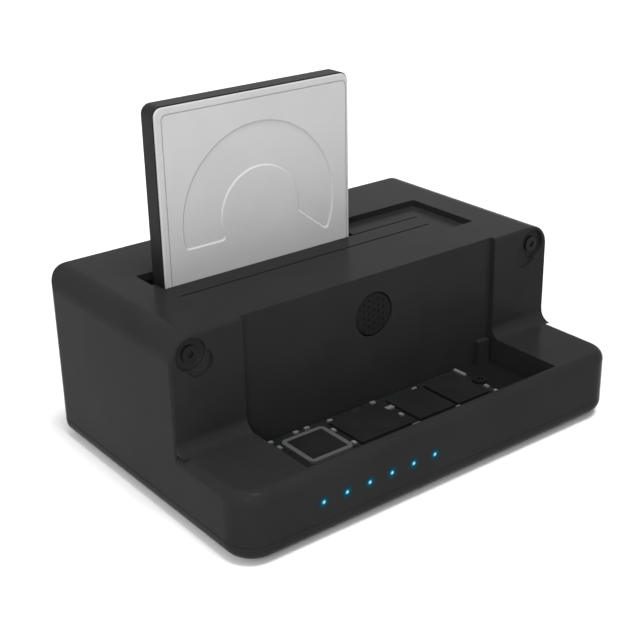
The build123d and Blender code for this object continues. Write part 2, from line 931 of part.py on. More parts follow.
# Hinge pin
with BuildPart() as flap_pin:
    pin_half = slot_half + well_wall - flap_pin_end_gap
    rod_x(-pin_half, pin_half, hinge_y, hinge_z, flap_pin_radius)
flap_pin.part.label = "flap_pin"
export_step(flap_pin.part, "parts/flap_pin.step")

# Torsion springs, each a coil on the pin
spring_length = spring_gap_outer - spring_gap_inner - 2 * spring_end_gap
with BuildPart() as flap_springs:
    for side in (-1, 1):
        x_start = side * (spring_gap_inner + spring_end_gap)
        with BuildLine() as coil:
            Helix(
                spring_length / spring_turns,
                spring_length,
                spring_coil_radius,
                center=(x_start, hinge_y, hinge_z),
                direction=(side, 0, 0),
            )
        with BuildSketch(Plane(origin=coil.line @ 0, z_dir=coil.line % 0)):
            Circle(spring_wire_radius)
        sweep(path=coil.line)
flap_springs.part.label = "flap_springs"
export_step(flap_springs.part, "parts/flap_springs.step")

# Drive socket: a block with a long slot for the drive's tongue
contact_xs = [
    plug_x - socket_slot_width / 2 + contact_first_from_left + index * contact_pitch
    for index in range(data_contacts)
]
power_start = contact_xs[-1] + contact_pitch + contact_group_gap
contact_xs += [power_start + index * contact_pitch for index in range(power_contacts)]
y_slot_front = plug_y - socket_slot_depth / 2
with BuildPart() as sata_socket:
    block(
        plug_x - socket_width / 2,
        plug_x + socket_width / 2,
        plug_y - socket_depth / 2,
        plug_y + socket_depth / 2,
        z_main_top,
        z_socket_top,
    )
    block(
        plug_x - socket_slot_width / 2,
        plug_x + socket_slot_width / 2,
        y_slot_front,
        y_slot_front + socket_slot_depth,
        z_socket_slot,
        z_socket_top + overrun,
        Mode.SUBTRACT,
    )
    for x in contact_xs:
        block(
            x - contact_width / 2,
            x + contact_width / 2,
            y_slot_front - contact_thickness,
            y_slot_front,
            z_socket_slot,
            z_socket_top,
            Mode.SUBTRACT,
        )
sata_socket.part.label = "sata_socket"
export_step(sata_socket.part, "parts/sata_socket.step")

# Contact strips let into the slot's front side
with BuildPart() as sata_contacts:
    for x in contact_xs:
        block(
            x - contact_width / 2,
            x + contact_width / 2,
            y_slot_front - contact_thickness,
            y_slot_front,
            z_socket_slot,
            z_socket_top,
        )
sata_contacts.part.label = "sata_contacts"
export_step(sata_contacts.part, "parts/sata_contacts.step")

# Main board
with BuildPart() as main_board:
    with BuildSketch(Plane.XY.offset(z_main)):
        RectangleRounded(main_board_width, main_board_depth, board_corner)
        with Locations(*main_screw_places):
            Circle(small_hole + part_gap, mode=Mode.SUBTRACT)
    extrude(amount=board_thickness)
main_board.part.label = "main_board"
export_step(main_board.part, "parts/main_board.step")

# Screws of the main board
with BuildPart() as board_screws:
    for x, y in main_screw_places:
        small_screw(x, y, z_main_top, main_screw_depth + board_thickness - fit_gap)
board_screws.part.label = "board_screws"
export_step(board_screws.part, "parts/board_screws.step")

# Flat chips on the main board
with BuildPart() as board_chips:
    for (x, y), side, rise in zip(chip_places, chip_sides, chip_rises):
        block(x - side / 2, x + side / 2, y - side / 2, y + side / 2, z_main_top, z_main_top + rise)
board_chips.part.label = "board_chips"
export_step(board_chips.part, "parts/board_chips.step")

# Inductors, square blocks with a round top
with BuildPart() as board_inductors:
    for x in inductor_xs:
        block(
            x - inductor_side / 2,
            x + inductor_side / 2,
            inductor_y - inductor_side / 2,
            inductor_y + inductor_side / 2,
            z_main_top,
            z_main_top + inductor_height,
        )
        z_step = z_main_top + inductor_height
        rod_z(x, inductor_y, z_step - inductor_step, z_step + inductor_step, inductor_round)
board_inductors.part.label = "board_inductors"
export_step(board_inductors.part, "parts/board_inductors.step")

# Capacitors, round cans
with BuildPart() as board_capacitors:
    for x in capacitor_xs:
        z_can = z_main_top + capacitor_height
        rod_z(x, capacitor_y, z_main_top, z_can, capacitor_radius)
        rod_z(x, capacitor_y, z_main_top, z_main_top + capacitor_foot, capacitor_radius + slip_gap)
    fillet(board_capacitors.edges().group_by(Axis.Z)[-1], radius=slip_gap)
board_capacitors.part.label = "board_capacitors"
export_step(board_capacitors.part, "parts/board_capacitors.step")

# Header between the two boards
with BuildPart() as board_header:
    block(
        -header_width / 2,
        header_width / 2,
        header_y - header_depth / 2,
        header_y + header_depth / 2,
        z_main_top,
        z_m2,
    )
board_header.part.label = "board_header"
export_step(board_header.part, "parts/board_header.step")

# Card board, on four spacers above the main board
with BuildPart() as m2_board:
    block(
        -half_width + m2_board_side_gap,
        half_width - m2_board_right_gap,
        m2_board_front,
        m2_board_back,
        z_m2,
        z_m2_top,
    )
    for x, y in spacer_places:
        rod_z(x, y, z_m2 - overrun, z_m2_top + overrun, small_hole + part_gap, Mode.SUBTRACT)
m2_board.part.label = "m2_board"
export_step(m2_board.part, "parts/m2_board.step")

with BuildPart() as m2_board_spacers:
    for x, y in spacer_places:
        rod_z(x, y, z_main_top, z_m2, spacer_radius)
        rod_z(x, y, z_main_top - overrun, z_m2 + overrun, small_hole, Mode.SUBTRACT)
m2_board_spacers.part.label = "m2_board_spacers"
export_step(m2_board_spacers.part, "parts/m2_board_spacers.step")

with BuildPart() as m2_board_screws:
    for x, y in spacer_places:
        small_screw(x, y, z_m2_top, spacer_screw_depth + board_thickness)
m2_board_screws.part.label = "m2_board_screws"
export_step(m2_board_screws.part, "parts/m2_board_screws.step")

# Card socket
card_tab_half = card_tab_width / 2
card_half = card_width / 2
with BuildPart() as m2_socket:
    block(
        card_socket_left,
        card_shoulder,
        card_y - card_socket_width / 2,
        card_y + card_socket_width / 2,
        z_m2_top,
        z_card_socket,
    )
    block(
        card_left,
        card_shoulder + overrun,
        card_y - card_tab_half - fit_gap,
        card_y + card_tab_half + fit_gap,
        z_card,
        z_card_top + fit_gap,
        Mode.SUBTRACT,
    )
m2_socket.part.label = "m2_socket"
export_step(m2_socket.part, "parts/m2_socket.step")

# Standoff and screw of the card
with BuildPart() as m2_standoff:
    rod_z(card_right, card_y, z_m2_top, z_card, card_standoff_radius)
    rod_z(card_right, card_y, z_m2_top, z_card + overrun, card_screw_shank + fit_gap, Mode.SUBTRACT)
m2_standoff.part.label = "m2_standoff"
export_step(m2_standoff.part, "parts/m2_standoff.step")

with BuildPart() as m2_screw:
    z_head = z_card_top + card_screw_head_height
    rod_z(card_right, card_y, z_card_top, z_head, card_screw_head)
    rod_z(card_right, card_y, z_m2_top + card_screw_tip_rise, z_card_top, card_screw_shank)
    z_cross = z_head - card_screw_head_height * cross_depth_share
    cross_recess(card_right, card_y, z_cross, z_head + overrun, card_screw_head)
m2_screw.part.label = "m2_screw"
export_step(m2_screw.part, "parts/m2_screw.step")

# Floor of the card bay, cut out round the socket and the standoff
with BuildPart() as pit_floor:
    block(
        -skirt_half,
        skirt_half,
        y_front + wall + part_gap,
        y_room_front,
        z_bay_under,
        z_bay,
    )
    block(
        -skirt_half - overrun,
        card_shoulder + slip_gap,
        card_y - card_socket_width / 2 - slip_gap,
        card_y + card_socket_width / 2 + slip_gap,
        z_bay_under - overrun,
        z_bay + overrun,
        Mode.SUBTRACT,
    )
    rod_z(
        card_right,
        card_y,
        z_bay_under - overrun,
        z_bay + overrun,
        card_standoff_radius + slip_gap,
        Mode.SUBTRACT,
    )
pit_floor.part.label = "pit_floor"
export_step(pit_floor.part, "parts/pit_floor.step")

# Solid-state card
with BuildPart() as ssd_board:
    block(
        card_shoulder,
        card_right,
        card_y - card_half,
        card_y + card_half,
        z_card,
        z_card_top,
    )
    block(
        card_left,
        card_shoulder,
        card_y - card_tab_half,
        card_y + card_tab_half,
        z_card,
        z_card_top,
    )
    rod_z(card_right, card_y, z_card - overrun, z_card_top + overrun, card_notch_radius, Mode.SUBTRACT)
ssd_board.part.label = "ssd_board"
export_step(ssd_board.part, "parts/ssd_board.step")

controller_x = card_left + controller_from_end + controller_width / 2
with BuildPart() as ssd_controller:
    inner = controller_width / 2 - controller_frame_wall - fit_gap
    block(
        controller_x - inner,
        controller_x + inner,
        card_y - inner,
        card_y + inner,
        z_card_top,
        z_card_top + chip_height,
    )
ssd_controller.part.label = "ssd_controller"
export_step(ssd_controller.part, "parts/ssd_controller.step")

with BuildPart() as ssd_controller_frame:
    inner_side = controller_width - 2 * controller_frame_wall
    with BuildSketch(Plane.XY.offset(z_card_top)):
        with Locations((controller_x, card_y)):
            RectangleRounded(controller_width, controller_width, controller_corner)
            Rectangle(inner_side, inner_side, mode=Mode.SUBTRACT)
    extrude(amount=chip_height - controller_frame_drop)
ssd_controller_frame.part.label = "ssd_controller_frame"
export_step(ssd_controller_frame.part, "parts/ssd_controller_frame.step")

with BuildPart() as ssd_memory:
    for from_end, width in zip(memory_from_end, memory_widths):
        block(
            card_left + from_end,
            card_left + from_end + width,
            card_y - chip_depth / 2,
            card_y + chip_depth / 2,
            z_card_top,
            z_card_top + chip_height,
        )
ssd_memory.part.label = "ssd_memory"
export_step(ssd_memory.part, "parts/ssd_memory.step")

# Small light-coloured parts round the chips, each group with its size along X and along Y
small_part_groups = (
    (small_part_offsets, small_part_long, small_part_wide),
    (small_part_upright_offsets, small_part_wide, small_part_long),
    (crystal_offsets, crystal_long, crystal_wide),
    (bar_offsets, bar_wide, bar_long),
)
with BuildPart() as ssd_small_parts:
    with BuildSketch(Plane(origin=(card_left, card_y, z_card_top))):
        for offsets, along, across in small_part_groups:
            with Locations(*offsets):
                Rectangle(along, across)
    extrude(amount=small_part_height)
ssd_small_parts.part.label = "ssd_small_parts"
export_step(ssd_small_parts.part, "parts/ssd_small_parts.step")

# Button: a cap with a flange behind the wall and a short stem
with BuildPart() as button_cap:
    y_cap = y_recess + button_sink
    rod_y(0, y_cap, y_flange, z_button, button_radius)
    rod_y(0, y_flange, y_stem, z_button, button_flange_radius)
    rod_y(0, y_stem, y_plunger, z_button, button_stem_radius)
    fillet(button_cap.edges().group_by(Axis.Y)[0], radius=button_edge_radius)
    with BuildSketch(Plane.XZ.offset(-y_cap + overrun)):
        with Locations((0, z_button)):
            with HexLocations(dimple_pitch / 2, dimple_rows, dimple_rows):
                Circle(dimple_radius)
    extrude(amount=-dimple_depth - overrun, mode=Mode.SUBTRACT)
button_cap.part.label = "button_cap"
export_step(button_cap.part, "parts/button_cap.step")

with BuildPart() as switch_plunger:
    rod_y(0, y_plunger, y_plunger + plunger_length, z_button, plunger_radius)
switch_plunger.part.label = "switch_plunger"
export_step(switch_plunger.part, "parts/switch_plunger.step")

# Switch housing and its board
with BuildPart() as button_switch:
    block(
        -switch_body_half,
        switch_body_half,
        y_switch_body,
        y_switch_board,
        z_button - switch_body_half,
        z_button + switch_body_half,
    )
    rod_y(
        0,
        y_switch_body - overrun,
        y_switch_body + plunger_pocket,
        z_button,
        plunger_hole,
        Mode.SUBTRACT,
    )
button_switch.part.label = "button_switch"
export_step(button_switch.part, "parts/button_switch.step")

with BuildPart() as button_board:
    block(
        -switch_board_half,
        switch_board_half,
        y_switch_board,
        well_front_face,
        z_button - switch_board_half,
        z_button + switch_board_half,
    )
button_board.part.label = "button_board"
export_step(button_board.part, "parts/button_board.step")

# Indicator lights and the lenses in front of them
with BuildPart() as status_leds:
    for index in range(light_count):
        x = light_first_x + index * light_pitch
        block(
            x - light_size / 2,
            x + light_size / 2,
            y_light,
            y_light + light_size,
            z_m2_top,
            z_m2_top + light_size,
        )
status_leds.part.label = "status_leds"
export_step(status_leds.part, "parts/status_leds.step")

with BuildPart() as led_lenses:
    for index in range(light_count):
        x = light_first_x + index * light_pitch
        rod_y(x, y_front, y_light, z_light, lens_radius)
    fillet(led_lenses.edges().group_by(Axis.Y)[0], radius=lens_dome)
led_lenses.part.label = "led_lenses"
export_step(led_lenses.part, "parts/led_lenses.step")

# Round power jack
with BuildPart() as dc_jack:
    y_jack = y_room_back - part_gap
    block(
        jack_x - jack_width / 2,
        jack_x + jack_width / 2,
        y_jack - jack_depth,
        y_jack,
        z_main_top,
        z_main_top + jack_height,
    )
    rod_y(jack_x, y_jack - overrun, y_back, z_jack, jack_nose_radius)
    rod_y(jack_x, y_back - jack_bore_depth, y_back + overrun, z_jack, jack_bore_radius, Mode.SUBTRACT)
    y_pin = y_back - jack_bore_depth
    rod_y(jack_x, y_pin - overrun, y_pin + jack_pin_length, z_jack, jack_pin_radius)
dc_jack.part.label = "dc_jack"
export_step(dc_jack.part, "parts/dc_jack.step")

# Data port: a metal shell round a thin tongue
with BuildPart() as usb_port:
    with BuildSketch(Plane.XZ.offset(-y_back)):
        with Locations((port_x, z_port)):
            RectangleRounded(port_width, port_height, port_corner)
    extrude(amount=port_depth)
    with BuildSketch(Plane.XZ.offset(-y_back)):
        with Locations((port_x, z_port)):
            RectangleRounded(
                port_width - 2 * port_shell,
                port_height - 2 * port_shell,
                port_corner - port_shell,
            )
    extrude(amount=port_depth - overrun, mode=Mode.SUBTRACT)
    y_tongue = y_back - port_depth + overrun
    block(
        port_x - port_tongue_width / 2,
        port_x + port_tongue_width / 2,
        y_tongue - overrun / 2,
        y_tongue + port_tongue_length,
        z_port - port_tongue_thickness / 2,
        z_port + port_tongue_thickness / 2,
    )
usb_port.part.label = "usb_port"
export_step(usb_port.part, "parts/usb_port.step")

# Housing of the power switch
with BuildPart() as rocker_housing:
    with BuildSketch(Plane.XZ.offset(-y_rocker_floor)):
        with Locations((rocker_x, z_rocker)):
            RectangleRounded(rocker_bezel_width, rocker_bezel_height, rocker_wall)
    extrude(amount=-rocker_bezel_thickness)
    body_half_width = rocker_hole_width / 2 - part_gap
    body_half_height = rocker_hole_height / 2 - part_gap
    cavity_half_width = body_half_width - rocker_wall
    cavity_half_height = body_half_height - rocker_wall
    block(
        rocker_x - body_half_width,
        rocker_x + body_half_width,
        y_rocker_floor - rocker_body_depth,
        y_rocker_floor,
        z_rocker - body_half_height,
        z_rocker + body_half_height,
    )
    block(
        rocker_x - cavity_half_width,
        rocker_x + cavity_half_width,
        y_rocker_floor - rocker_body_depth + rocker_wall,
        y_bezel_face + overrun,
        z_rocker - cavity_half_height,
        z_rocker + cavity_half_height,
        Mode.SUBTRACT,
    )
    rod_z(
        rocker_x,
        y_pivot,
        z_rocker - body_half_height,
        z_rocker + body_half_height,
        rocker_pivot_hole,
        Mode.SUBTRACT,
    )
rocker_housing.part.label = "rocker_housing"
export_step(rocker_housing.part, "parts/rocker_housing.step")

# Rocker of the power switch, drawn turned to its off side
tilt = radians(rocker_face_tilt)
pivot_plane = Plane(
    origin=(rocker_x, y_pivot, z_rocker),
    x_dir=(cos(tilt), -sin(tilt), 0),
    z_dir=(0, 0, 1),
)
face_middle = rocker_face_rise + rocker_pivot_depth - rocker_face_drop
face_end = face_middle + rocker_half_width * sin(tilt)
with BuildPart() as power_rocker:
    with BuildSketch(pivot_plane):
        with BuildLine():
            Polyline(
                (-rocker_half_width, face_end),
                (0, face_middle),
                (rocker_half_width, face_end),
                (rocker_half_width, face_middle - rocker_skirt),
                (rocker_keel_half_width, -rocker_pivot_radius),
                (-rocker_keel_half_width, -rocker_pivot_radius),
                (-rocker_half_width, face_middle - rocker_skirt),
                close=True,
            )
        make_face()
    extrude(amount=rocker_half_height, both=True)
    rod_z(
        rocker_x,
        y_pivot,
        z_rocker - body_half_height + part_gap,
        z_rocker + body_half_height - part_gap,
        rocker_pivot_radius,
    )
power_rocker.part.label = "power_rocker"
export_step(power_rocker.part, "parts/power_rocker.step")

# Standing drive: the frame, a casting with a raised rim round its cover
cover_back = drive_front + cover_thickness
board_face = drive_back - drive_board_recess
cover_left = drive_left + cover_inset
cover_right = drive_right - cover_inset
cover_bottom = z_drive + cover_inset
cover_top = z_drive_top - cover_inset
border_left = drive_left + drive_rim
border_right = drive_right - border_side_thin
border_bottom = z_drive + drive_rim
border_top = z_drive_top - drive_rim
plug_pocket_half = socket_width / 2 + slip_gap + plug_wall
z_plug_pocket = z_drive + plug_pocket_height
with BuildPart() as drive_frame:
    with BuildSketch(Plane.XZ.offset(-drive_back)):
        with Locations(((drive_left + drive_right) / 2, (z_drive + z_drive_top) / 2)):
            RectangleRounded(drive_width, drive_length, drive_corner)
    extrude(amount=drive_thickness)
    fillet(drive_frame.edges().group_by(Axis.Y)[-1], radius=drive_edge_radius)
    # Seat of the cover, over the whole front face
    with BuildSketch(Plane.XZ.offset(-cover_back)):
        with Locations(((drive_left + drive_right) / 2, (z_drive + z_drive_top) / 2)):
            Rectangle(drive_width + overrun, drive_length + overrun)
    extrude(amount=cover_thickness + overrun, mode=Mode.SUBTRACT)
    # Seat of the circuit board, and the pocket of the plug at the lower end
    block(
        drive_left + drive_rim,
        drive_right - drive_rim,
        board_face,
        drive_back + overrun,
        z_plug_pocket,
        z_drive + drive_board_height,
        Mode.SUBTRACT,
    )
    block(
        plug_x - plug_pocket_half,
        plug_x + plug_pocket_half,
        cover_back,
        drive_back + overrun,
        z_drive - overrun,
        z_plug_pocket,
        Mode.SUBTRACT,
    )
    # Threaded holes in the right side
    for z in side_hole_heights:
        rod_x(
            drive_right - side_hole_depth,
            drive_right + overrun,
            drive_back - side_hole_from_back,
            z,
            side_hole_radius,
            Mode.SUBTRACT,
        )
    for x, z in drive_screw_places:
        rod_y(x, board_face - drive_screw_reach, drive_back, z, drive_screw_shank + fit_gap, Mode.SUBTRACT)
drive_frame.part.label = "drive_frame"
export_step(drive_frame.part, "parts/drive_frame.step")

# Cover of the drive, with one shallow horseshoe stamped into it
stamp_x = drive_left + stamp_from_left
stamp_z = z_drive_top - stamp_from_top
with BuildPart() as drive_cover:
    with BuildSketch(Plane.XZ.offset(-cover_back)):
        with Locations(((cover_left + cover_right) / 2, (cover_bottom + cover_top) / 2)):
            RectangleRounded(cover_right - cover_left, cover_top - cover_bottom, cover_corner)
    extrude(amount=cover_thickness)
    fillet(drive_cover.edges().group_by(Axis.Y)[0], radius=cover_edge_radius)
    # Border line along the edges
    border_width_outer = border_right - border_left
    border_height_outer = border_top - border_bottom
    with BuildSketch(Plane.XZ.offset(-drive_front)):
        with Locations(((border_left + border_right) / 2, (border_bottom + border_top) / 2)):
            RectangleRounded(border_width_outer, border_height_outer, border_corner)
            RectangleRounded(
                border_width_outer - 2 * border_width,
                border_height_outer - 2 * border_width,
                border_corner - border_width,
                mode=Mode.SUBTRACT,
            )
    extrude(amount=-border_depth, mode=Mode.SUBTRACT)
    with BuildSketch(Plane.XZ.offset(-drive_front)) as stamp:
        with Locations((stamp_x, stamp_z)):
            Circle(stamp_outer)
            Circle(stamp_inner, mode=Mode.SUBTRACT)
        with BuildLine():
            Polyline(
                (stamp_x - 2 * stamp_outer, z_drive_top - stamp_left_end),
                (stamp_x, z_drive_top - stamp_left_end),
                (stamp_x, z_drive_top - stamp_left_end + stamp_step),
                (stamp_x + 2 * stamp_outer, z_drive_top - stamp_right_end),
                (stamp_x + 2 * stamp_outer, z_drive),
                (stamp_x - 2 * stamp_outer, z_drive),
                close=True,
            )
        make_face(mode=Mode.SUBTRACT)
        fillet(stamp.vertices(), radius=stamp_corner)
    extrude(amount=-stamp_depth, taper=stamp_slope, mode=Mode.SUBTRACT)
drive_cover.part.label = "drive_cover"
export_step(drive_cover.part, "parts/drive_cover.step")

# Circuit board on the drive's rear, and its screws
z_drive_board = z_drive + drive_board_height
with BuildPart() as drive_pcb:
    block(
        drive_left + drive_rim + part_gap,
        drive_right - drive_rim - part_gap,
        board_face,
        board_face + drive_board_thickness,
        z_plug_pocket + part_gap,
        z_drive_board - part_gap,
    )
    for x, z in drive_screw_places:
        rod_y(x, board_face - overrun, drive_back, z, drive_screw_shank + part_gap, Mode.SUBTRACT)
drive_pcb.part.label = "drive_pcb"
export_step(drive_pcb.part, "parts/drive_pcb.step")

with BuildPart() as drive_pcb_screws:
    y_seat = board_face + drive_board_thickness
    for x, z in drive_screw_places:
        rod_y(x, y_seat, drive_back, z, drive_screw_head)
        rod_y(x, board_face - drive_screw_reach, y_seat, z, drive_screw_shank)
drive_pcb_screws.part.label = "drive_pcb_screws"
export_step(drive_pcb_screws.part, "parts/drive_pcb_screws.step")

# Plug of the drive: a shroud with a thin tongue
with BuildPart() as drive_plug:
    block(
        plug_x - plug_pocket_half,
        plug_x + plug_pocket_half,
        cover_back,
        drive_back,
        z_drive + plug_lip,
        z_plug_pocket,
    )
    block(
        plug_x - socket_width / 2 - slip_gap,
        plug_x + socket_width / 2 + slip_gap,
        cover_back - overrun,
        plug_y + socket_depth / 2 + slip_gap,
        z_drive - overrun,
        z_plug_pocket - plug_base,
        Mode.SUBTRACT,
    )
    block(
        plug_x - socket_slot_width / 2 + slip_gap,
        plug_x + socket_slot_width / 2 - slip_gap,
        plug_y - socket_slot_depth / 2 + slip_gap,
        plug_y + socket_slot_depth / 2 - slip_gap,
        z_socket_slot + slip_gap,
        z_plug_pocket - plug_base / 2,
    )
drive_plug.part.label = "drive_plug"
export_step(drive_plug.part, "parts/drive_plug.step")
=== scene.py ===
from math import cos, pi, radians, sin

import bmesh
import bpy
from mathutils import Matrix, Vector


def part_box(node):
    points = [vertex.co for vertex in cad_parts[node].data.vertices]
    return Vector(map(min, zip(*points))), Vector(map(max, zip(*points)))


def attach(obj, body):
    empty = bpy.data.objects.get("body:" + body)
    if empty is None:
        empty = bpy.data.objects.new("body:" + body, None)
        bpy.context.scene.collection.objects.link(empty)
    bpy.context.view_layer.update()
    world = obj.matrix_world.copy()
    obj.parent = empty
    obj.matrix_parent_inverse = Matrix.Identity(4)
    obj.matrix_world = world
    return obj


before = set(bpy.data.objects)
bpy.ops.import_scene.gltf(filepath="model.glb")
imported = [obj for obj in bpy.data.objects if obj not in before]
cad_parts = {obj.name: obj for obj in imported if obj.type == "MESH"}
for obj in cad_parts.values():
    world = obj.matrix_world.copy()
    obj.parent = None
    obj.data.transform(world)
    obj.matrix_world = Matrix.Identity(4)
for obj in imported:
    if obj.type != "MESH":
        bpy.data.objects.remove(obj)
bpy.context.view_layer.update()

MM = 0.001

# Row of lenses in the ledge's front face
lens_low, lens_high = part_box("led_lenses")
LENS_COUNT = 6
LENS_RADIUS = (lens_high.z - lens_low.z) / 2
LENS_PITCH = (lens_high.x - lens_low.x - 2 * LENS_RADIUS) / (LENS_COUNT - 1)
LENS_FIRST_X = lens_low.x + LENS_RADIUS
LENS_Z = (lens_low.z + lens_high.z) / 2
# Painted glow of the lenses: a thin ring round each lens on the ledge's front face
HALO_INNER_RADIUS = 1.06 * LENS_RADIUS
HALO_RADIUS = 2.4 * MM
HALO_PROUD = 0.02 * MM
HALO_STEPS = 32

# Colours
CHARCOAL = (0.0194, 0.0196, 0.02)
BLACK = (0.008, 0.008, 0.0085)
STEEL = (0.56, 0.56, 0.57)
UNLIT = (0.0, 0.0, 0.0)
WHITE = (1.0, 1.0, 1.0)

# Grain of the surfaces: positions on a noise field, cells per metre and depths
BROAD_BAND = (0.3, 0.7)
FINE_BAND = (0.35, 0.65)
BROAD_SHARE = 1 / 40
GLOSS_SWING = 0.04
LAMP_GRAIN = 2600.0
LAMP_RELIEF = 0.01 * MM
LAMP_ROUGHNESS = 0.35
LAMP_SPECULAR = 0.015

# Circuit boards
TRACK_CELLS = 420.0
TRACK_EDGES = (0.04, 0.09)
TRACK_RELIEF = 0.04 * MM
TRACK_RELIEF_SHARE = 0.4
MASK_GRAIN = 2600.0
MASK_ROUGHNESS = (0.3, 0.42)
MASK_SPECULAR = 0.08

# The photograph's camera, fitted to the standing drive and the card
CAMERA_PLACE = Vector((-222.6, -281.6, 193.1)) * MM
CAMERA_YAW = radians(37.48)
CAMERA_PITCH = radians(23.69)
CAMERA_ROLL = radians(1.05)
FOCAL_PIXELS = 1255.7
PHOTO_PIXELS = 640
SENSOR_WIDTH = 36.0

# Floor, world and lights
FLOOR_SIZE = 8.0
FLOOR_DROP = 0.2 * MM
FLOOR_CELLS = 3.0
FLOOR_TONES = (0.93, 0.95)
FLOOR_ROUGHNESS = 0.9
WORLD_BRIGHT_SIDE = (-0.80, -0.22, 0.56)
WORLD_DARK_DOT = -0.4
WORLD_LOW = 0.08
WORLD_HIGH = 1.08
KEY_PLACE = (0.05, -0.3, 1.2)
KEY_SPREAD = radians(20.0)
KEY_POWER = 2.3
FRONT_PLACE = (-0.7, -0.6, 0.5)
FRONT_SIZE = 0.3
FRONT_POWER = 3.0
LIGHT_AIM = (0.0, 0.0, 0.03)


def new_material(name):
    """A material whose node tree holds one Principled shader, and the tree's parts."""
    material = bpy.data.materials.new(name)
    material.use_nodes = True
    tree = material.node_tree
    shader = tree.nodes["Principled BSDF"]
    coordinates = tree.nodes.new("ShaderNodeTexCoord")
    return material, tree, shader, coordinates.outputs["Object"]


def noise(tree, place, scale, detail=3.0):
    """A noise field over the object's own coordinates, scale in cells per metre."""
    field = tree.nodes.new("ShaderNodeTexNoise")
    field.inputs["Scale"].default_value = scale
    field.inputs["Detail"].default_value = detail
    tree.links.new(place, field.inputs["Vector"])
    return field.outputs["Fac"]


def ramp(tree, value, *stops):
    """A colour ramp over a 0 to 1 value; each stop is (position, colour)."""
    node = tree.nodes.new("ShaderNodeValToRGB")
    elements = node.color_ramp.elements
    for index, (position, colour) in enumerate(stops):
        element = elements[index] if index < len(elements) else elements.new(position)
        element.position = position
        element.color = (*colour, 1.0)
    tree.links.new(value, node.inputs["Fac"])
    return node.outputs["Color"]


def remap(tree, value, source, target):
    """Maps a value from one band of numbers onto another and keeps it inside."""
    node = tree.nodes.new("ShaderNodeMapRange")
    node.inputs["From Min"].default_value, node.inputs["From Max"].default_value = source
    node.inputs["To Min"].default_value, node.inputs["To Max"].default_value = target
    tree.links.new(value, node.inputs["Value"])
    return node.outputs["Result"]


def math_node(tree, operation, first, second=0.0, third=0.0):
    """One arithmetic node; each input is a socket or a number."""
    node = tree.nodes.new("ShaderNodeMath")
    node.operation = operation
    for socket, value in zip(node.inputs, (first, second, third)):
        if isinstance(value, (int, float)):
            socket.default_value = value
        else:
            tree.links.new(value, socket)
    return node.outputs["Value"]


def bump(tree, shader, value, distance, strength=1.0):
    """Turns a height field into a fine relief."""
    node = tree.nodes.new("ShaderNodeBump")
    node.inputs["Distance"].default_value = distance
    node.inputs["Strength"].default_value = strength
    tree.links.new(value, node.inputs["Height"])
    tree.links.new(node.outputs["Normal"], shader.inputs["Normal"])


def toned(colour, factor):
    """The colour made lighter or darker by a factor."""
    return tuple(min(1.0, channel * factor) for channel in colour)


def grained(name, colour, roughness, grain, relief, variation=0.08, metallic=0.0, specular=0.5):
    """A surface with a fine grain: slight changes of tone and gloss, and a relief in millimetres."""
    material, tree, shader, place = new_material(name)
    fine = noise(tree, place, grain, detail=4.0)
    broad = noise(tree, place, grain * BROAD_SHARE, detail=2.0)
    tones = ramp(tree, broad, (BROAD_BAND[0], toned(colour, 1 - variation)),
                 (BROAD_BAND[1], toned(colour, 1 + variation)))
    specks = ramp(tree, fine, (FINE_BAND[0], toned(WHITE, 1 - variation)), (FINE_BAND[1], WHITE))
    mix = tree.nodes.new("ShaderNodeMix")
    mix.data_type = "RGBA"
    mix.blend_type = "MULTIPLY"
    mix.inputs["Factor"].default_value = 1.0
    tree.links.new(tones, mix.inputs["A"])
    tree.links.new(specks, mix.inputs["B"])
    tree.links.new(mix.outputs["Result"], shader.inputs["Base Color"])
    gloss = remap(tree, fine, BROAD_BAND, (roughness - GLOSS_SWING, roughness + GLOSS_SWING))
    tree.links.new(gloss, shader.inputs["Roughness"])
    shader.inputs["Metallic"].default_value = metallic
    shader.inputs["Specular IOR Level"].default_value = specular
    bump(tree, shader, fine, relief * MM)
    return material


def circuit(name, mask, copper):
    """Solder mask over faint tracks, from the edges of cells."""
    material, tree, shader, place = new_material(name)
    cells = tree.nodes.new("ShaderNodeTexVoronoi")
    cells.feature = "DISTANCE_TO_EDGE"
    cells.inputs["Scale"].default_value = TRACK_CELLS
    tree.links.new(place, cells.inputs["Vector"])
    tracks = ramp(tree, cells.outputs["Distance"], (TRACK_EDGES[0], copper), (TRACK_EDGES[1], mask))
    tree.links.new(tracks, shader.inputs["Base Color"])
    gloss = remap(tree, noise(tree, place, MASK_GRAIN), BROAD_BAND, MASK_ROUGHNESS)
    tree.links.new(gloss, shader.inputs["Roughness"])
    shader.inputs["Specular IOR Level"].default_value = MASK_SPECULAR
    bump(tree, shader, cells.outputs["Distance"], TRACK_RELIEF, TRACK_RELIEF_SHARE)
    return material


def glow_by_distance(name, reach, glow, body):
    """A row of lit lenses, or the painted glow round them: light and colour change with the distance from
    each lens's centre.
    """
    material, tree, shader, place = new_material(name)
    split = tree.nodes.new("ShaderNodeSeparateXYZ")
    tree.links.new(place, split.inputs["Vector"])
    from_first = math_node(tree, "SUBTRACT", split.outputs["X"], LENS_FIRST_X)
    along = math_node(tree, "WRAP", from_first, LENS_PITCH / 2, -LENS_PITCH / 2)
    across = math_node(tree, "SUBTRACT", split.outputs["Z"], LENS_Z)
    square = math_node(tree, "ADD", math_node(tree, "MULTIPLY", along, along),
                       math_node(tree, "MULTIPLY", across, across))
    distance = math_node(tree, "DIVIDE", math_node(tree, "SQRT", square), reach)
    tree.links.new(ramp(tree, distance, *glow), shader.inputs["Emission Color"])
    tree.links.new(ramp(tree, distance, *body), shader.inputs["Base Color"])
    shader.inputs["Emission Strength"].default_value = 1.0
    shader.inputs["Roughness"].default_value = LAMP_ROUGHNESS
    shader.inputs["Specular IOR Level"].default_value = LAMP_SPECULAR
    bump(tree, shader, noise(tree, place, LAMP_GRAIN), LAMP_RELIEF)
    return material


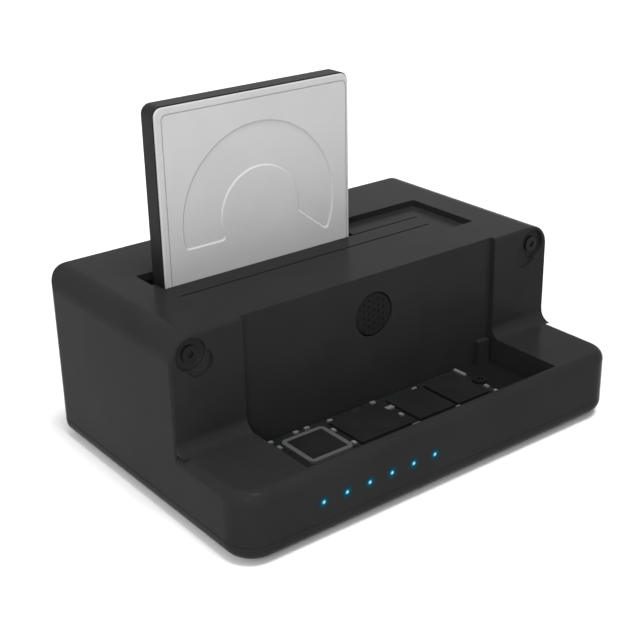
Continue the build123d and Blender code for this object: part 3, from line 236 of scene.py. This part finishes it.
def dress(material, *names):
    """Gives a material to CAD nodes."""
    for name in names:
        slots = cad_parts[name].data.materials
        slots.clear()
        slots.append(material)


# Plastics and rubber
dress(grained("case_plastic", CHARCOAL, roughness=0.22, grain=2600.0, relief=0.01, variation=0.06,
              specular=0.016),
      "upper_shell", "base_cover", "slot_flap")
dress(grained("button_plastic", toned(CHARCOAL, 0.6), roughness=0.45, grain=2600.0, relief=0.03,
              variation=0.06, specular=0.03),
      "button_cap")
dress(grained("inner_plastic", BLACK, roughness=0.6, grain=1800.0, relief=0.03, specular=0.02),
      "drive_well", "pit_floor", "sata_socket", "board_header", "dc_jack", "button_switch",
      "switch_plunger", "m2_socket", "rocker_housing", "drive_plug")
dress(grained("gloss_black", BLACK, roughness=0.2, grain=1200.0, relief=0.01),
      "power_rocker")
dress(grained("pale_plastic", (0.62, 0.62, 0.58), roughness=0.5, grain=2200.0, relief=0.02),
      "status_leds")
dress(grained("rubber", (0.012, 0.012, 0.012), roughness=0.8, grain=2200.0, relief=0.05,
              variation=0.1, specular=0.1),
      "rubber_feet")

# Parts of the boards
dress(grained("chip_epoxy", (0.011, 0.0112, 0.0116), roughness=0.42, grain=5200.0, relief=0.02,
              variation=0.12, specular=0.06),
      "board_chips", "ssd_controller", "ssd_memory")
dress(grained("ferrite", (0.06, 0.06, 0.062), roughness=0.6, grain=4200.0, relief=0.04,
              variation=0.15),
      "board_inductors")
dress(circuit("green_board", mask=(0.008, 0.05, 0.022), copper=(0.016, 0.085, 0.035)),
      "main_board", "button_board", "drive_pcb")
dress(circuit("black_board", mask=(0.009, 0.010, 0.010), copper=(0.014, 0.015, 0.015)),
      "m2_board", "ssd_board")

# Metals and coatings
dress(grained("cover_metal", (0.47, 0.47, 0.472), roughness=0.55, grain=2400.0, relief=0.01,
              variation=0.02, specular=0.06),
      "drive_cover")
dress(grained("drive_coating", (0.015, 0.015, 0.0155), roughness=0.45, grain=2800.0, relief=0.02,
              variation=0.1, specular=0.06),
      "drive_frame")
dress(grained("zinc", STEEL, roughness=0.32, grain=3600.0, relief=0.01, variation=0.06,
              metallic=1.0),
      "case_screws", "well_screws", "board_screws", "m2_board_screws", "drive_pcb_screws",
      "flap_pin", "flap_springs", "usb_port")
dress(grained("black_zinc", (0.009, 0.009, 0.0095), roughness=0.4, grain=3600.0, relief=0.01,
              variation=0.1, specular=0.08),
      "corner_screws", "m2_screw")
dress(grained("silver", (0.085, 0.085, 0.085), roughness=0.5, grain=3200.0, relief=0.01,
              variation=0.05, metallic=0.3, specular=0.2),
      "ssd_controller_frame")
dress(grained("solder", (0.15, 0.148, 0.144), roughness=0.5, grain=5200.0, relief=0.01,
              variation=0.1, metallic=0.2, specular=0.2),
      "ssd_small_parts")
dress(grained("gold", (0.86, 0.62, 0.24), roughness=0.28, grain=4200.0, relief=0.01,
              variation=0.06, metallic=1.0),
      "sata_contacts")
dress(grained("brass", (0.62, 0.46, 0.2), roughness=0.34, grain=3600.0, relief=0.01, metallic=1.0),
      "m2_standoff", "m2_board_spacers")
dress(grained("can_metal", (0.66, 0.66, 0.68), roughness=0.3, grain=2600.0, relief=0.01,
              variation=0.04, metallic=1.0),
      "board_capacitors")

# Lit lenses, and the painted glow they spread on the case
dress(glow_by_distance("lens_glow", LENS_RADIUS,
           glow=((0.0, (0.7, 0.96, 1.0)), (0.35, (0.4, 0.82, 0.98)), (0.6, (0.05, 0.36, 0.56)),
                 (1.0, (0.005, 0.11, 0.18))),
           body=((0.0, BLACK), (1.0, BLACK))),
      "led_lenses")
# Painted glow: the rings give off faint blue light, and their colour darkens and turns blue towards the
# lens. They stand in for the lenses' light spilling onto the plastic.
painted_halo_glow = glow_by_distance("painted_halo_glow", HALO_RADIUS,
                 glow=((0.4, (0.002, 0.055, 0.085)), (0.7, (0.0, 0.014, 0.022)), (1.0, UNLIT)),
                 body=((0.4, (0.001, 0.006, 0.008)), (1.0, CHARCOAL)))


def painted_glow_rings(bm):
    """Thin rings round the lenses, on the ledge's front face: painted glow, where the lenses' light spreads
    over the case.
    """
    y = lens_low.y - HALO_PROUD
    turns = [2 * pi * step / HALO_STEPS for step in range(HALO_STEPS)]
    for index in range(LENS_COUNT):
        x = LENS_FIRST_X + index * LENS_PITCH
        inner, outer = ([bm.verts.new((x + radius * cos(turn), y, LENS_Z + radius * sin(turn)))
                         for turn in turns] for radius in (HALO_INNER_RADIUS, HALO_RADIUS))
        for step in range(HALO_STEPS):
            after = (step + 1) % HALO_STEPS
            bm.faces.new((inner[step], inner[after], outer[after], outer[step]))


def mesh_piece(name, builder, material, body):
    """A new piece that rides on a CAD body; builder(bm) makes its mesh."""
    mesh = bpy.data.meshes.new(name)
    bm = bmesh.new()
    builder(bm)
    bm.to_mesh(mesh)
    bm.free()
    piece = bpy.data.objects.new(name, mesh)
    bpy.context.scene.collection.objects.link(piece)
    mesh.materials.append(material)
    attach(piece, body)


def photo_camera():
    """The camera of the photograph."""
    level_share = cos(CAMERA_PITCH)
    back = Vector((-sin(CAMERA_YAW) * level_share, -cos(CAMERA_YAW) * level_share,
                   sin(CAMERA_PITCH)))
    level = (-back).cross(Vector((0.0, 0.0, 1.0))).normalized()
    down = (-back).cross(level)
    right = cos(CAMERA_ROLL) * level + sin(CAMERA_ROLL) * down
    below = -sin(CAMERA_ROLL) * level + cos(CAMERA_ROLL) * down
    data = bpy.data.cameras.new("photo_camera")
    data.sensor_width = SENSOR_WIDTH
    data.lens = SENSOR_WIDTH * FOCAL_PIXELS / PHOTO_PIXELS
    camera = bpy.data.objects.new("photo_camera", data)
    turn = Matrix((right, -below, back)).transposed().to_4x4()
    camera.matrix_world = Matrix.Translation(CAMERA_PLACE) @ turn
    bpy.context.scene.collection.objects.link(camera)
    bpy.context.scene.camera = camera


def pale_floor():
    """A plain pale floor just under the feet."""
    mesh = bpy.data.meshes.new("floor")
    half = FLOOR_SIZE / 2
    corners = [(x, y, -FLOOR_DROP) for x, y in ((-half, -half), (half, -half), (half, half), (-half, half))]
    mesh.from_pydata(corners, [], [(0, 1, 2, 3)])
    floor = bpy.data.objects.new("floor", mesh)
    bpy.context.scene.collection.objects.link(floor)
    material, tree, shader, place = new_material("floor_paper")
    cloud = noise(tree, place, FLOOR_CELLS)
    tones = ramp(tree, cloud, (BROAD_BAND[0], toned(WHITE, FLOOR_TONES[0])),
                 (BROAD_BAND[1], toned(WHITE, FLOOR_TONES[1])))
    tree.links.new(tones, shader.inputs["Base Color"])
    shader.inputs["Roughness"].default_value = FLOOR_ROUGHNESS
    shader.inputs["Specular IOR Level"].default_value = 0.0
    mesh.materials.append(material)


def white_world():
    """A world that looks white, and lights the object more from its left than from its right."""
    world = bpy.data.worlds.new("studio")
    bpy.context.scene.world = world
    world.use_nodes = True
    tree = world.node_tree
    background = tree.nodes["Background"]
    background.inputs["Color"].default_value = (*WHITE, 1.0)
    direction = tree.nodes.new("ShaderNodeTexCoord").outputs["Generated"]
    dot = tree.nodes.new("ShaderNodeVectorMath")
    dot.operation = "DOT_PRODUCT"
    dot.inputs[1].default_value = WORLD_BRIGHT_SIDE
    tree.links.new(direction, dot.inputs[0])
    level = remap(tree, dot.outputs["Value"], (WORLD_DARK_DOT, 1.0), (WORLD_LOW, WORLD_HIGH))
    path = tree.nodes.new("ShaderNodeLightPath").outputs
    seen = math_node(tree, "MAXIMUM", path["Is Camera Ray"], path["Is Transmission Ray"])
    seen_or_mirrored = math_node(tree, "MAXIMUM", seen, path["Is Glossy Ray"])
    mix = tree.nodes.new("ShaderNodeMix")
    tree.links.new(seen_or_mirrored, mix.inputs["Factor"])
    tree.links.new(level, mix.inputs["A"])
    mix.inputs["B"].default_value = 1.0
    tree.links.new(mix.outputs["Result"], background.inputs["Strength"])


def aimed_light(name, kind, power, place, aim):
    """A light at a place that shines towards another."""
    data = bpy.data.lights.new(name, kind)
    data.energy = power
    light = bpy.data.objects.new(name, data)
    light.location = place
    light.rotation_euler = (Vector(aim) - Vector(place)).to_track_quat("-Z", "Y").to_euler()
    bpy.context.scene.collection.objects.link(light)
    return data


mesh_piece("painted_glow_rings", painted_glow_rings, painted_halo_glow, body="root")
photo_camera()
pale_floor()
white_world()
key_light = aimed_light("key_light", "SUN", KEY_POWER, KEY_PLACE, aim=(0.0, 0.0, 0.0))
key_light.angle = KEY_SPREAD
front_light = aimed_light("front_light", "AREA", FRONT_POWER, FRONT_PLACE, aim=LIGHT_AIM)
front_light.shape = "SQUARE"
front_light.size = FRONT_SIZE

bpy.context.scene.view_settings.view_transform = "Standard"
